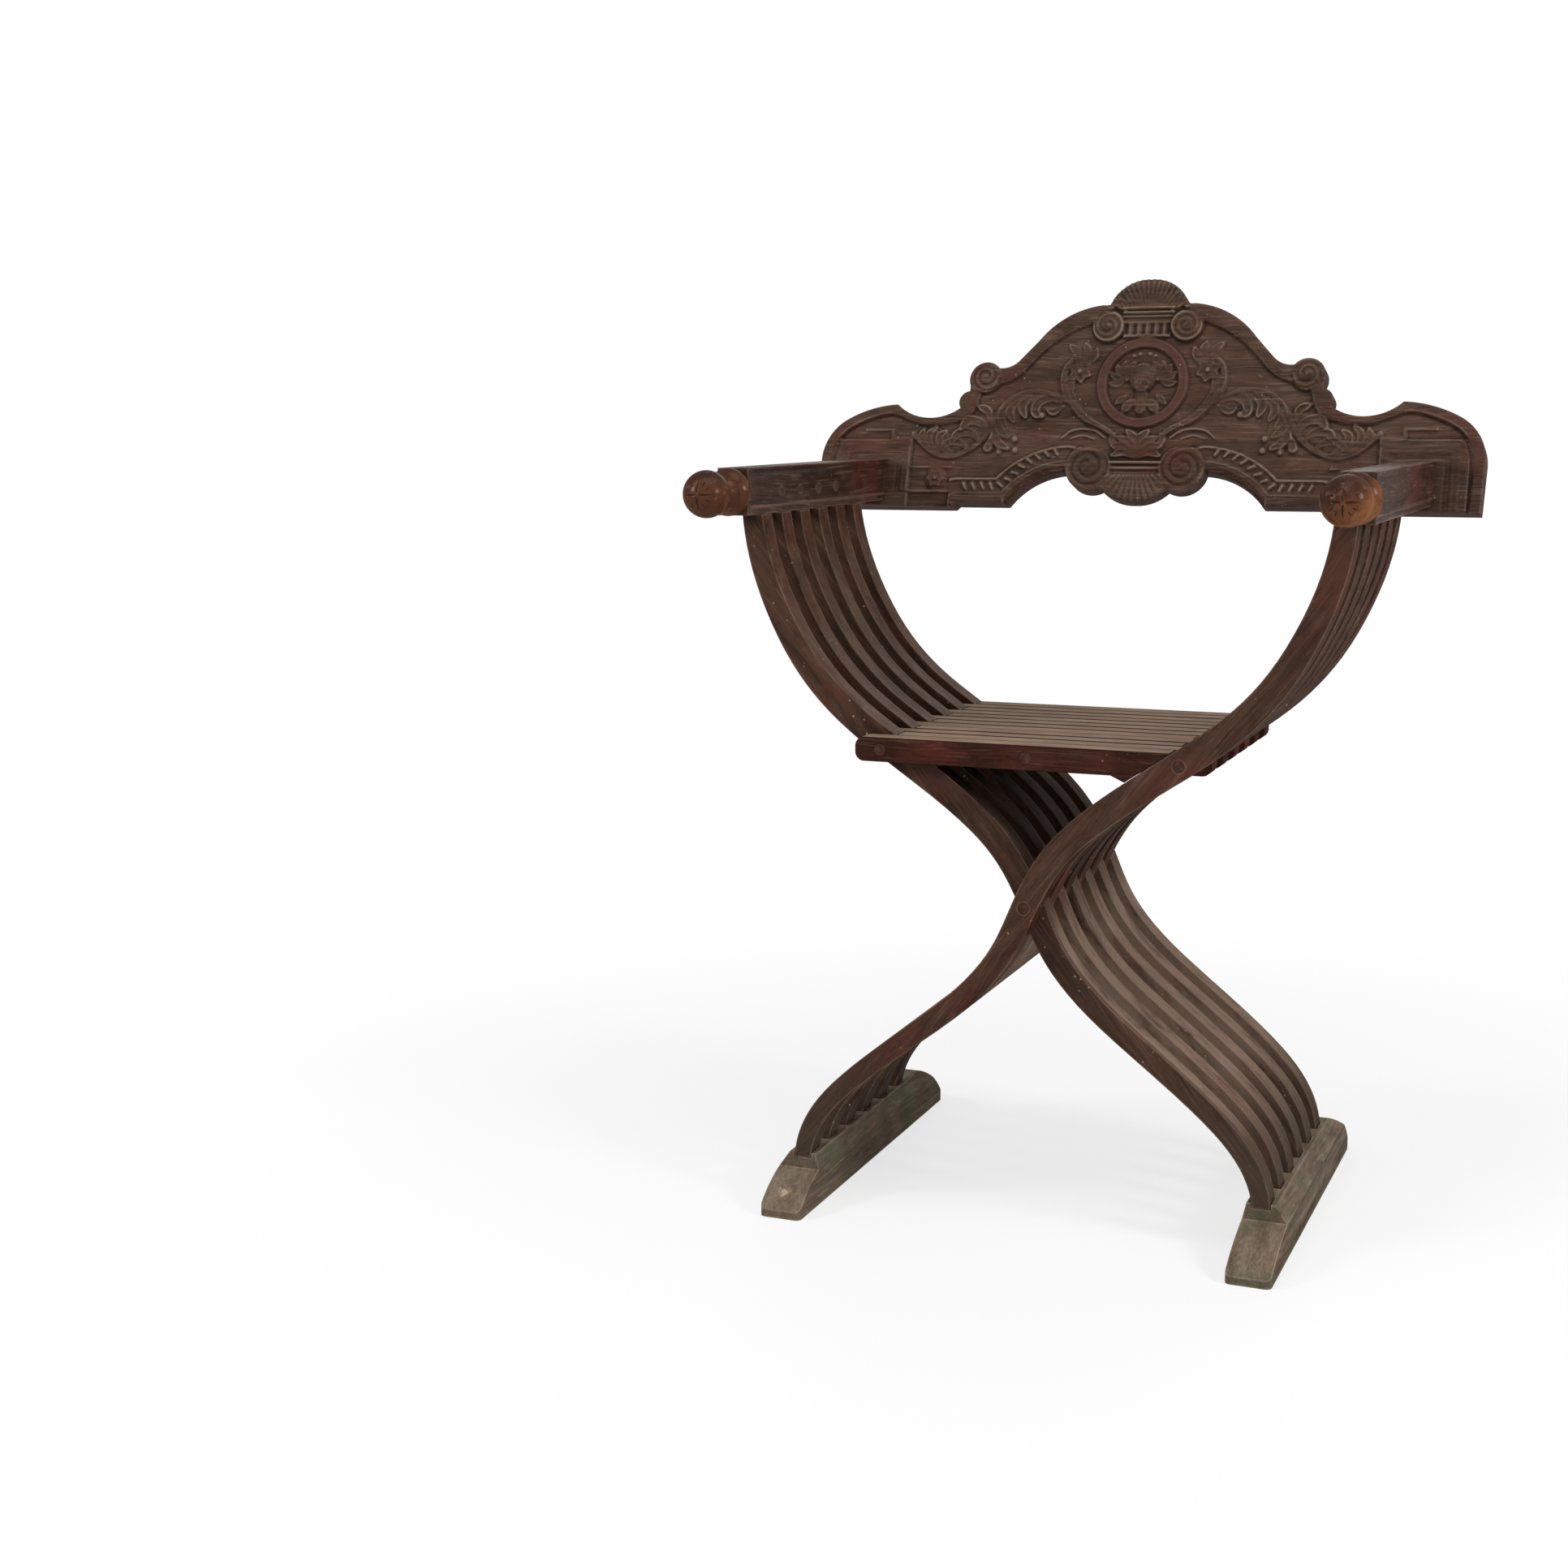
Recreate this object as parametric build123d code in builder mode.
from build123d import *
import math
import os

os.makedirs("parts", exist_ok=True)

# Savonarola chair: twelve interleaved S-curved staves on a scissor pivot, a slatted
# seat that breaks upwards, two arm rails, two sled feet and a lift-off carved crest.
# Millimetres. Origin on the floor under the middle of the whole, front towards -Y, +Z up.

# ---- Stave pack -----------------------------------------------------------------
layer_count = 12
layer_pitch = 25.0
layer_gap = 0.8
layer_thickness = layer_pitch - layer_gap
pack_depth = layer_count * layer_pitch

# ---- Pivots ---------------------------------------------------------------------
pivot_z = 331.0
seat_rod_x = 149.0
seat_rod_z = 479.0
rod_radius = 6.0
fixed_fit = 0.05
running_fit = 0.09

# ---- Heights and spans ----------------------------------------------------------
arm_bottom_z = 706.5
arm_height = 47.0
arm_top_z = arm_bottom_z + arm_height
arm_x = 305.0
arm_width = 33.0
stave_foot_x = 233.5
stave_arm_x = 295.5
foot_top_z = 54.0
housing_depth = 5.0
stave_foot_z = foot_top_z - housing_depth
stave_spare = 3.0

# ---- Right stave's centre line, from the left foot up to the right arm: (x, z) --
stave_line = [
    (-stave_foot_x - 0.6, stave_foot_z - stave_spare),
    (-232.3, 56.0),
    (-227.4, 76.0),
    (-211.0, 105.0),
    (-166.0, 150.0),
    (-110.0, 195.0),
    (-57.0, 240.0),
    (-18.5, 290.0),
    (0.0, pivot_z),
    (27.0, 380.0),
    (79.0, 430.0),
    (seat_rod_x, seat_rod_z),
    (221.0, 538.0),
    (261.0, 597.0),
    (285.0, 655.0),
    (stave_arm_x, arm_bottom_z + stave_spare),
]
# Width of a stave at a height: (z, width), straight in between
stave_widths = [
    (stave_foot_z, 17.5),
    (195.0, 21.5),
    (pivot_z, 25.0),
    (seat_rod_z, 28.0),
    (arm_bottom_z, 21.5),
]
stave_stations = 16
tenon_width = 12.0
tenon_depth = 15.0
arm_tenon_height = 13.0
arm_tenon_x = stave_arm_x + 3.0
foot_tenon_height = 22.0

# ---- Seat slats -----------------------------------------------------------------
slat_thickness = 24.0
slat_overhang = 26.0
slat_corner = 9.0
slat_end_gap = 0.4
heel_depth = 6.0
heel_start_x = 84.0
heel_end_x = 97.0
heel_back_x = 118.0

# ---- Turned knobs ---------------------------------------------------------------
bead_radius = 23.5
bead_back_radius = 19.5
bead_length = 18.0
collar_length = 4.0
neck_radius = 10.5
knob_radius = 23.2
knob_setout = 62.0
dowel_radius = 6.0
dowel_length = 28.0

# ---- Arm mouldings --------------------------------------------------------------
reed_width = 1.6
reed_depth = 1.2
reed_inset = 4.5
top_strip = 5.5
cove_height = 7.5
lower_bead = 1.8
lower_strip = 6.5
panel_depth = 1.3
strip_depth = 1.5
arm_front_block = 7.0

# ---- Feet -----------------------------------------------------------------------
foot_x = stave_foot_x + 4.0
foot_width = 44.0
bed_top_width = 28.0
bed_setback = 0.2
toe_length = 52.0
toe_top_z = 37.0
toe_nose_height = 8.0
toe_bulge = 3.5
toe_corner = 6.0
foot_back_flat = 18.0
heel_toe_length = 70.0
heel_bulge = 6.0
housing_clearance = 0.3
housing_lean = 1.0

# ---- Crest board ----------------------------------------------------------------
crest_recline = 17.0
crest_setback = 98.0
crest_thickness = 24.0
crest_field_depth = 5.0
crest_border = 13.0
arm_end_gap = 0.3
crest_half_width = arm_x + 66.5
crest_low = -arm_height - 7.5
crest_low_inner = crest_low + 4.0
crest_top = 206.0
crest_peak = (284.0, 64.5)
crest_dip = (245.0, 48.5)
side_roll_centre = (180.5, 95.5)
side_roll_radius = 18.0
top_volute_centre = (45.5, 153.5)
top_volute_radius = 16.5
low_volute_centre = (54.0, -9.0)
low_volute_radius = 23.0
medallion_centre_v = 89.5
medallion_radius = 52.0
medallion_inner_radius = 41.0
rosette_centre = (230.0, -22.0)
rosette_radius = 9.0
scroll_margin = 4.0
scroll_groove = 2.2
scroll_depth = 2.6
scroll_taper = 0.76
scroll_eye = 0.4
shell_flutes = 9
shell_spread = 160.0
top_shell_v = 166.0
low_shell_v = -14.0
# A flute's inner and outer reach, then its width at both
top_flute_size = (17.0, 33.0, 2.0, 4.4)
low_flute_size = (15.0, 25.0, 1.6, 3.4)

# ---- Crest keys -----------------------------------------------------------------
key_mouth = 14.0
key_root = 20.0
key_depth = 11.0
key_height = 34.0
key_fit = 0.25
key_peg_radius = 4.0
key_peg_length = 24.0
key_x = arm_x

# ---- Positions front to back, the whole centred on Y = 0 -------------------------
reach_front = knob_setout + knob_radius
reach_back = (
    crest_setback
    + crest_top * math.sin(math.radians(crest_recline))
    + crest_thickness * math.cos(math.radians(crest_recline))
)
pack_front_y = (reach_front - pack_depth - reach_back) / 2
pack_back_y = pack_front_y + pack_depth
arm_front_y = pack_front_y
knob_centre_y = pack_front_y - knob_setout
crest_front_y = pack_back_y + crest_setback
foot_front_y = pack_front_y - toe_length
foot_back_flat_y = pack_back_y + foot_back_flat
foot_back_y = foot_back_flat_y + heel_toe_length

crest_plane = Plane(
    origin=(0, crest_front_y, arm_top_z),
    x_dir=(1, 0, 0),
    z_dir=(0, -math.cos(math.radians(crest_recline)), math.sin(math.radians(crest_recline))),
)


def layer_y(layer):
    """Middle of a layer, counted from 1 at the front."""
    return pack_front_y + (layer - 0.5) * layer_pitch


def layer_plane(layer):
    """Sketch plane in the middle of a layer, with local x along X and local y along Z."""
    return Plane.XZ.offset(-layer_y(layer))


def stave_width_at(z):
    for (low_z, low_width), (high_z, high_width) in zip(stave_widths, stave_widths[1:]):
        if z <= high_z:
            share = (z - low_z) / (high_z - low_z)
            return low_width + share * (high_width - low_width)
    return stave_widths[-1][1]


stave_centre = Spline(*stave_line, mode=Mode.PRIVATE)


def stave_edges(extra=0.0):
    """Points down each long edge of the right stave, its outline grown by extra."""
    inner = []
    outer = []
    for station in range(stave_stations + 1):
        share = station / stave_stations
        point = stave_centre @ share
        tangent = stave_centre % share
        half = stave_width_at(point.Y) / 2 + extra
        inner.append((point.X - half * tangent.Y, point.Y + half * tangent.X))
        outer.append((point.X + half * tangent.Y, point.Y - half * tangent.X))
    return inner, outer


def stave_outline(side, extra=0.0):
    """Outline of a stave: side 1 leans to the right arm, -1 to the left."""
    inner, outer = stave_edges(extra)
    inner = [(side * x, z) for x, z in inner]
    outer = [(side * x, z) for x, z in outer]
    with BuildSketch() as outline:
        with BuildLine():
            Spline(*inner)
            Line(inner[-1], outer[-1])
            Spline(*outer)
            Line(outer[0], inner[0])
        make_face()
    return outline.sketch


def make_stave(side, layer):
    """One S-curved stave with a tenon at each end and holes for its two rods."""
    own_rod = (side * seat_rod_x, seat_rod_z)
    pivot_fit = fixed_fit if side > 0 else running_fit
    outline = stave_outline(side)
    with BuildPart() as stave:
        with BuildSketch(layer_plane(layer)):
            add(outline)
            with Locations((0, (stave_foot_z + arm_bottom_z) / 2)):
                Rectangle(3 * arm_x, arm_bottom_z - stave_foot_z, mode=Mode.INTERSECT)
        extrude(amount=layer_thickness / 2, both=True)
        with BuildSketch(Plane.XY.offset(arm_bottom_z)):
            with Locations((side * arm_tenon_x, layer_y(layer))):
                Rectangle(tenon_width, tenon_depth)
        extrude(amount=arm_tenon_height)
        with BuildSketch(Plane.XY.offset(stave_foot_z)):
            with Locations((-side * stave_foot_x, layer_y(layer))):
                Rectangle(tenon_width, tenon_depth)
        extrude(amount=-foot_tenon_height)
        with BuildSketch(layer_plane(layer)):
            with Locations((0, pivot_z)):
                Circle(rod_radius + pivot_fit)
            with Locations(own_rod):
                Circle(rod_radius + fixed_fit)
        extrude(amount=layer_thickness, both=True, mode=Mode.SUBTRACT)
    return stave.part


def make_slat(side, layer):
    """One seat slat, hung on the rod at its rounded end and cut to bear on a stave.

    Side -1 hangs on the left rod and bears on a right stave, side 1 the other way."""
    rounded_end_x = side * (seat_rod_x + slat_overhang)
    bearing_x = -side * seat_rod_x
    low_z = seat_rod_z - slat_thickness / 2
    high_z = seat_rod_z + slat_thickness / 2
    bearing = stave_outline(-side, slat_end_gap)
    with BuildPart() as slat:
        with BuildSketch(layer_plane(layer)):
            with BuildLine():
                Polyline(
                    (rounded_end_x, low_z),
                    (rounded_end_x, high_z),
                    (bearing_x, high_z),
                    (-side * heel_back_x, low_z - heel_depth),
                    (-side * heel_end_x, low_z - heel_depth),
                    (-side * heel_start_x, low_z),
                    close=True,
                )
            make_face()
        extrude(amount=layer_thickness / 2, both=True)
        end_edges = slat.edges().filter_by(Axis.Y).sort_by(Axis.X)
        fillet(end_edges[:2] if side < 0 else end_edges[-2:], slat_corner)
        with BuildSketch(layer_plane(layer)):
            add(bearing)
        extrude(amount=layer_pitch, both=True, mode=Mode.SUBTRACT)
        with BuildSketch(layer_plane(layer)):
            with Locations((side * seat_rod_x, seat_rod_z)):
                Circle(rod_radius + running_fit)
            with Locations((0, seat_rod_z)):
                Circle(rod_radius + fixed_fit)
        extrude(amount=layer_thickness, both=True, mode=Mode.SUBTRACT)
    return slat.part


def make_rod(x, z):
    """A rod right through the pack, its ends flush with the outer faces."""
    with BuildPart() as rod:
        with BuildSketch(Plane.XZ.offset(-pack_front_y - layer_gap / 2)):
            with Locations((x, z)):
                Circle(rod_radius)
        extrude(amount=-(pack_depth - layer_gap))
    return rod.part


def make_centre_rod(first_layer):
    """The sections of the centre rod that sit in every second slat."""
    with BuildPart() as rod:
        for layer in range(first_layer, layer_count + 1, 2):
            with BuildSketch(layer_plane(layer)):
                with Locations((0, seat_rod_z)):
                    Circle(rod_radius)
            extrude(amount=layer_thickness / 2, both=True)
    return rod.part


def moulding_cuts(face_x, sign):
    """What the mouldings leave open in one side face of an arm, seen from the front."""
    panel_x = face_x - sign * panel_depth
    strip_x = face_x - sign * strip_depth
    beyond_x = face_x + sign
    cove_top_z = arm_top_z - top_strip
    cove_low_z = cove_top_z - cove_height
    bead_low_z = arm_bottom_z + lower_strip
    with BuildSketch() as cuts:
        with BuildLine():
            ThreePointArc(
                (face_x, cove_top_z),
                (panel_x + sign * panel_depth * 0.2, (cove_top_z + cove_low_z) / 2),
                (panel_x, cove_low_z),
            )
            Polyline(
                (panel_x, cove_low_z),
                (panel_x, bead_low_z + lower_bead),
                (beyond_x, bead_low_z + lower_bead),
                (beyond_x, cove_top_z),
                (face_x, cove_top_z),
            )
        make_face()
        with BuildLine():
            Polyline(
                (strip_x, arm_bottom_z - 1),
                (beyond_x, arm_bottom_z - 1),
                (beyond_x, bead_low_z),
                (strip_x, bead_low_z),
                close=True,
            )
        make_face()
    return cuts.sketch


def make_arm(side, first_layer):
    """An arm rail, moulded along both side faces, with reeds on top and mortises below."""
    rear_y = crest_front_y + crest_thickness
    with BuildPart() as arm:
        with BuildSketch(Plane.XY.offset(arm_bottom_z)):
            with Locations((side * arm_x, (arm_front_y + rear_y) / 2)):
                Rectangle(arm_width, rear_y - arm_front_y)
        extrude(amount=arm_height)
        # Mouldings start behind a plain block at the front end
        with BuildSketch(Plane.XZ.offset(-rear_y - 1)):
            for sign in (-1, 1):
                add(moulding_cuts(side * arm_x + sign * arm_width / 2, sign))
        extrude(amount=rear_y + 1 - arm_front_y - arm_front_block, mode=Mode.SUBTRACT)
        for sign in (-1, 1):
            reed_x = side * arm_x + sign * (arm_width / 2 - reed_inset)
            with Locations((reed_x, (rear_y + arm_front_y) / 2 + arm_front_block, arm_top_z)):
                Box(reed_width, rear_y - arm_front_y, 2 * reed_depth, mode=Mode.SUBTRACT)
        split(bisect_by=crest_plane.offset(arm_end_gap), keep=Keep.TOP)
        # Mortises for the staves
        with BuildSketch(Plane.XY.offset(arm_bottom_z)):
            for layer in range(first_layer, layer_count + 1, 2):
                with Locations((side * arm_tenon_x, layer_y(layer))):
                    Rectangle(tenon_width + 2 * fixed_fit, tenon_depth + 2 * fixed_fit)
        extrude(amount=arm_tenon_height + fixed_fit, mode=Mode.SUBTRACT)
        # Bore for the knob's dowel
        with BuildSketch(Plane.XZ.offset(-arm_front_y)):
            with Locations((side * arm_x, arm_bottom_z + arm_height / 2)):
                Circle(dowel_radius + fixed_fit)
        extrude(amount=-dowel_length - fixed_fit, mode=Mode.SUBTRACT)
        if side > 0:
            with BuildSketch(crest_plane.offset(arm_end_gap)):
                with Locations((key_x, -key_height / 2)):
                    Circle(key_peg_radius + fixed_fit)
            extrude(amount=key_peg_length + fixed_fit, mode=Mode.SUBTRACT)
    return arm.part


def make_knob(side):
    """A turned cushion bead, neck and ball on one dowel, turned about the arm's axis."""
    axis_x = side * arm_x
    axis_z = arm_bottom_z + arm_height / 2
    knob_plane = Plane(origin=(axis_x, 0, axis_z), x_dir=(0, 1, 0), z_dir=(0, 0, 1))
    front = arm_front_y - fixed_fit
    collar = front - collar_length
    bead_front = collar - bead_length
    bead_middle = collar - bead_length / 2
    neck_reach = math.sqrt(knob_radius**2 - neck_radius**2)
    with BuildPart() as knob:
        with BuildSketch(knob_plane):
            with BuildLine():
                Polyline(
                    (front + dowel_length, 0),
                    (front + dowel_length, dowel_radius),
                    (front, dowel_radius),
                    (front, bead_back_radius),
                    (collar, bead_back_radius),
                )
                ThreePointArc(
                    (collar, bead_back_radius),
                    (bead_middle, bead_radius),
                    (bead_front, bead_back_radius - 3),
                )
                Polyline(
                    (bead_front, bead_back_radius - 3),
                    (bead_front, neck_radius),
                    (knob_centre_y + neck_reach, neck_radius),
                )
                ThreePointArc(
                    (knob_centre_y + neck_reach, neck_radius),
                    (knob_centre_y, knob_radius),
                    (knob_centre_y - knob_radius, 0),
                )
                Line((knob_centre_y - knob_radius, 0), (front + dowel_length, 0))
            make_face()
        revolve(axis=Axis((axis_x, 0, axis_z), (0, 1, 0)))
    return knob.part


def make_foot(side, first_layer):
    """A sled foot: a bevelled bed that houses the staves, with a sloping toe at each end."""
    foot_middle_y = (foot_front_y + foot_back_y) / 2
    foot_length = foot_back_y - foot_front_y
    bed_front_y = layer_y(first_layer) - layer_thickness / 2 + bed_setback
    low_x = side * foot_x - foot_width / 2
    high_x = side * foot_x + foot_width / 2
    with BuildPart() as foot:
        with BuildSketch():
            with Locations((side * foot_x, foot_middle_y)):
                RectangleRounded(foot_width, foot_length, toe_corner)
        extrude(amount=foot_top_z)
        # Side view: nose, toe, step up to the bed, and the long slope behind
        with BuildSketch(Plane.YZ.offset(side * foot_x)):
            with BuildLine():
                Polyline(
                    (foot_front_y, toe_nose_height),
                    (foot_front_y, 0),
                    (foot_back_y, 0),
                    (foot_back_y, toe_nose_height),
                )
                SagittaArc((foot_back_y, toe_nose_height), (foot_back_flat_y, foot_top_z), -heel_bulge)
                Polyline(
                    (foot_back_flat_y, foot_top_z),
                    (bed_front_y, foot_top_z),
                    (bed_front_y, toe_top_z),
                )
                SagittaArc((bed_front_y, toe_top_z), (foot_front_y, toe_nose_height), -toe_bulge)
            make_face()
        extrude(amount=foot_width, both=True, mode=Mode.INTERSECT)
        # Front view: both long top edges bevelled down to the width of the bed
        with BuildSketch(Plane.XZ.offset(-foot_back_y - 1)):
            with BuildLine():
                Polyline(
                    (low_x, -1),
                    (high_x, -1),
                    (high_x, toe_top_z),
                    (side * stave_foot_x + bed_top_width / 2, foot_top_z),
                    (side * stave_foot_x - bed_top_width / 2, foot_top_z),
                    (low_x, toe_top_z),
                    close=True,
                )
            make_face()
        extrude(amount=foot_length + 2, mode=Mode.INTERSECT)
        # Housings that take the full stave, then mortises for the tenons
        with BuildSketch(Plane.XY.offset(foot_top_z)):
            for layer in range(first_layer, layer_count + 1, 2):
                with Locations((side * stave_foot_x, layer_y(layer))):
                    Rectangle(
                        stave_widths[0][1] + 2 * housing_clearance + housing_lean,
                        layer_thickness + 2 * housing_clearance,
                    )
        extrude(amount=-housing_depth, mode=Mode.SUBTRACT)
        with BuildSketch(Plane.XY.offset(stave_foot_z)):
            for layer in range(first_layer, layer_count + 1, 2):
                with Locations((side * stave_foot_x, layer_y(layer))):
                    Rectangle(tenon_width + 2 * fixed_fit, tenon_depth + 2 * fixed_fit)
        extrude(amount=-foot_tenon_height - fixed_fit, mode=Mode.SUBTRACT)
    return foot.part


def crest_outline():
    """The whole outline of the crest board."""
    roll_x, roll_v = side_roll_centre
    with BuildSketch() as outline:
        with BuildLine():
            ThreePointArc((0, -46.5), (19, -43.5), (37, -32))
            ThreePointArc((37, -32), (57, -34.5), (78, -13))
            ThreePointArc((78, -13), (109, -21), (144, crest_low_inner))
            Polyline(
                (144, crest_low_inner),
                (203, crest_low_inner),
                (207, crest_low),
                (crest_half_width - 1.5, crest_low),
                (crest_half_width, -3),
            )
            ThreePointArc(
                (crest_half_width, -3),
                (crest_half_width - 7.5, 27),
                (crest_half_width - 27.5, 47),
            )
            ThreePointArc((crest_half_width - 27.5, 47), (316, 59), crest_peak)
            ThreePointArc(crest_peak, crest_dip, (208, 60))
            ThreePointArc((208, 60), (210, 69), (198.5, 79.5))
            Line((198.5, 79.5), (198.5, roll_v - 9.5))
            ThreePointArc(
                (198.5, roll_v - 9.5),
                (roll_x + side_roll_radius * 0.5, roll_v + side_roll_radius * 0.866),
                (166, roll_v + 10.7),
            )
            ThreePointArc((166, roll_v + 10.7), (156, 107), (142, 116))
            Line((142, 116), (122, 138))
            ThreePointArc((122, 138), (93, 164), (52, 177.5))
            Line((52, 177.5), (44, 178))
            ThreePointArc((44, 178), (30, 197), (0, crest_top))
            mirror(about=Plane.YZ)
        make_face()
    return outline.sketch


def scroll_groove_face(centre, radius, turn):
    """A spiral groove of half circles that closes in on the centre."""
    x, start_v = centre[0], centre[1] - radius
    upwards = 1
    reach = radius
    with BuildSketch() as groove:
        while reach > radius * scroll_eye:
            half = reach * (1 + scroll_taper) / 2
            v = start_v + upwards * half
            outer = half + scroll_groove / 2
            inner = half - scroll_groove / 2
            bulge = turn * upwards
            with BuildLine():
                ThreePointArc((x, v - outer), (x + bulge * outer, v), (x, v + outer))
                Line((x, v + outer), (x, v + inner))
                ThreePointArc((x, v + inner), (x + bulge * inner, v), (x, v - inner))
                Line((x, v - inner), (x, v - outer))
            make_face()
            start_v += upwards * 2 * half
            upwards = -upwards
            reach *= scroll_taper
    return groove.sketch


def shell_flute(inner_reach, outer_reach, inner_width, outer_width):
    """One flute of a fan shell, wider and rounded at its outer end."""
    with BuildSketch() as flute:
        with BuildLine():
            Polyline(
                (outer_width / 2, outer_reach),
                (inner_width / 2, inner_reach),
                (-inner_width / 2, inner_reach),
                (-outer_width / 2, outer_reach),
            )
            ThreePointArc(
                (-outer_width / 2, outer_reach),
                (0, outer_reach + outer_width / 2),
                (outer_width / 2, outer_reach),
            )
        make_face()
    return flute.sketch


def make_crest():
    """The crest board: outline, sunk field, rolls, volutes, medallion and shells."""
    field_plane = crest_plane.offset(-crest_field_depth)
    outline = crest_outline()
    top_flute = shell_flute(*top_flute_size)
    low_flute = shell_flute(*low_flute_size)
    discs = []
    scrolls = []
    for side in (-1, 1):
        for (x, v), radius, turn in (
            (top_volute_centre, top_volute_radius, 1),
            (low_volute_centre, low_volute_radius, -1),
            (side_roll_centre, side_roll_radius - 2, 1),
        ):
            discs.append((side * x, v, radius))
            scrolls.append(scroll_groove_face((side * x, v), radius - scroll_margin, side * turn))
        discs.append((side * rosette_centre[0], rosette_centre[1], rosette_radius))
    with BuildPart() as crest:
        with BuildSketch(crest_plane):
            add(outline)
        extrude(amount=-crest_thickness)
        with BuildSketch(crest_plane):
            add(outline)
            offset(amount=-crest_border, mode=Mode.REPLACE)
        extrude(amount=-crest_field_depth, mode=Mode.SUBTRACT)
        # Ornament that stands in the field, level with the border
        with BuildSketch(field_plane):
            with Locations((0, medallion_centre_v)):
                Circle(medallion_radius)
                Circle(medallion_inner_radius, mode=Mode.SUBTRACT)
            for x, v, radius in discs:
                with Locations((x, v)):
                    Circle(radius)
        extrude(amount=crest_field_depth)
        # Spiral grooves in the volutes and the side rolls
        with BuildSketch(crest_plane):
            for scroll in scrolls:
                add(scroll)
        extrude(amount=-scroll_depth, mode=Mode.SUBTRACT)
        # Flutes of the two fan shells
        with BuildSketch(crest_plane):
            for flute in range(shell_flutes):
                lean = (flute - (shell_flutes - 1) / 2) * shell_spread / shell_flutes
                with Locations(Location((0, top_shell_v, 0), lean)):
                    add(top_flute)
                with Locations(Location((0, low_shell_v, 0), 180 + lean)):
                    add(low_flute)
        extrude(amount=-scroll_depth, mode=Mode.SUBTRACT)
        # Dovetail housings for the two keys, open at the lower edge
        for side in (-1, 1):
            with BuildSketch(Plane(
                origin=crest_plane.from_local_coords(Vector(side * key_x, crest_low - 1, 0)),
                x_dir=(1, 0, 0),
                z_dir=crest_plane.y_dir,
            )):
                with BuildLine():
                    Polyline(
                        (-key_mouth / 2 - key_fit, -1),
                        (key_mouth / 2 + key_fit, -1),
                        (key_mouth / 2 + key_fit, 0),
                        (key_root / 2 + key_fit, key_depth + key_fit),
                        (-key_root / 2 - key_fit, key_depth + key_fit),
                        (-key_mouth / 2 - key_fit, 0),
                        close=True,
                    )
                make_face()
            extrude(amount=-crest_low + 1, mode=Mode.SUBTRACT)
    return crest.part


def make_key(side):
    """A dovetail key; the right one has a peg into its arm, the left one ends flush."""
    with BuildPart() as key:
        with BuildSketch(Plane(
            origin=crest_plane.from_local_coords(Vector(side * key_x, -key_height - 2, 0)),
            x_dir=(1, 0, 0),
            z_dir=crest_plane.y_dir,
        )):
            with BuildLine():
                Polyline(
                    (-key_mouth / 2, 0),
                    (key_mouth / 2, 0),
                    (key_root / 2, key_depth),
                    (-key_root / 2, key_depth),
                    close=True,
                )
            make_face()
            if side > 0:
                with Locations((0, -arm_end_gap / 2)):
                    Rectangle(key_mouth, arm_end_gap)
        extrude(amount=key_height)
        if side > 0:
            with BuildSketch(crest_plane.offset(-1)):
                with Locations((key_x, -key_height / 2)):
                    Circle(key_peg_radius)
            extrude(amount=key_peg_length + 1)
    return key.part


def save(part, node):
    part.label = node
    export_step(part, f"parts/{node}.step")


for number in range(1, layer_count // 2 + 1):
    odd_layer = 2 * number - 1
    even_layer = 2 * number
    save(make_stave(1, odd_layer), f"right_stave_{number}")
    save(make_stave(-1, even_layer), f"left_stave_{number}")
    save(make_slat(-1, odd_layer), f"left_slat_{number}")
    save(make_slat(1, even_layer), f"right_slat_{number}")

save(make_rod(0, pivot_z), "main_pivot_rod")
save(make_rod(-seat_rod_x, seat_rod_z), "left_seat_rod")
save(make_rod(seat_rod_x, seat_rod_z), "right_seat_rod")
save(make_centre_rod(1), "centre_rod_left")
save(make_centre_rod(2), "centre_rod_right")

save(make_arm(1, 1), "right_arm")
save(make_arm(-1, 2), "left_arm")
save(make_knob(1), "right_knob")
save(make_knob(-1), "left_knob")
save(make_foot(-1, 1), "left_foot")
save(make_foot(1, 2), "right_foot")

save(make_crest(), "crest_rail")
save(make_key(1), "right_key")
save(make_key(-1), "left_key")
